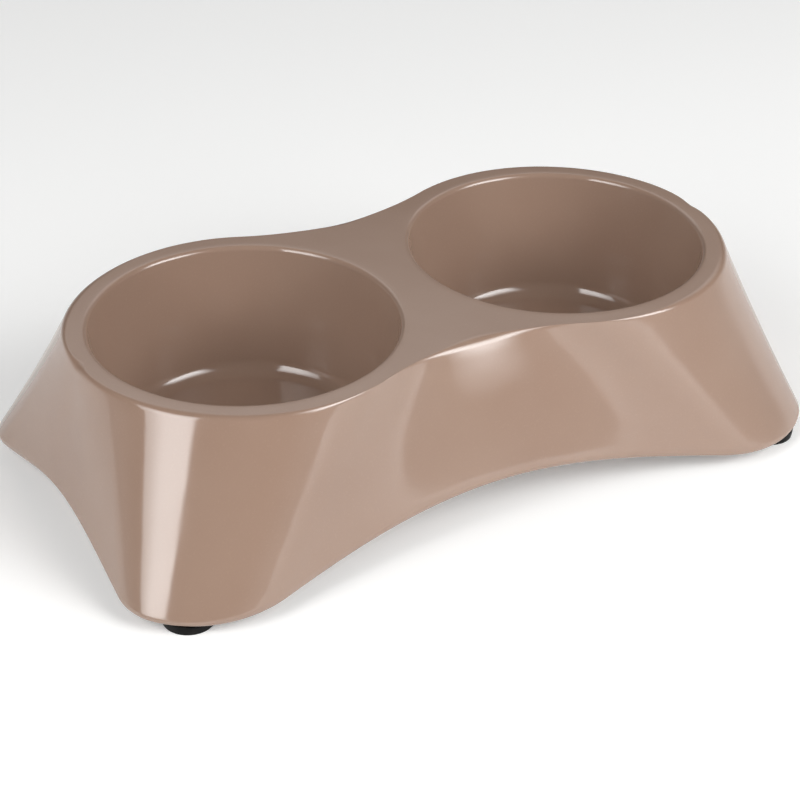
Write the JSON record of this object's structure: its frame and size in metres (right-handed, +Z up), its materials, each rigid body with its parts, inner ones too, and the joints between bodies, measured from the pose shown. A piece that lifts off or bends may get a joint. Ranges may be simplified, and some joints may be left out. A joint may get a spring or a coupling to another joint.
{
  "type": "double pet bowl",
  "caption": "Low moulded pet feeding stand with two round wells side by side, a waisted deck, a flared skirt with spread corners and rubber feet.",
  "frame": {"origin": "On the table under the middle of the stand, on the plane that the four feet stand on", "axes": "+X along the length, from the left well to the right well; +Y across the width, towards the rear; +Z up, out of the wells"},
  "size_m": [0.3114, 0.185, 0.0725],
  "materials": {
    "moulding": "glossy dusty taupe melamine, compression moulded",
    "foot_rubber": "black moulded rubber"
  },
  "bodies": {
    "root": {"body": "moulding", "foot_front_left": "foot_rubber", "foot_front_right": "foot_rubber", "foot_rear_left": "foot_rubber", "foot_rear_right": "foot_rubber"}
  },
  "joints": []
}
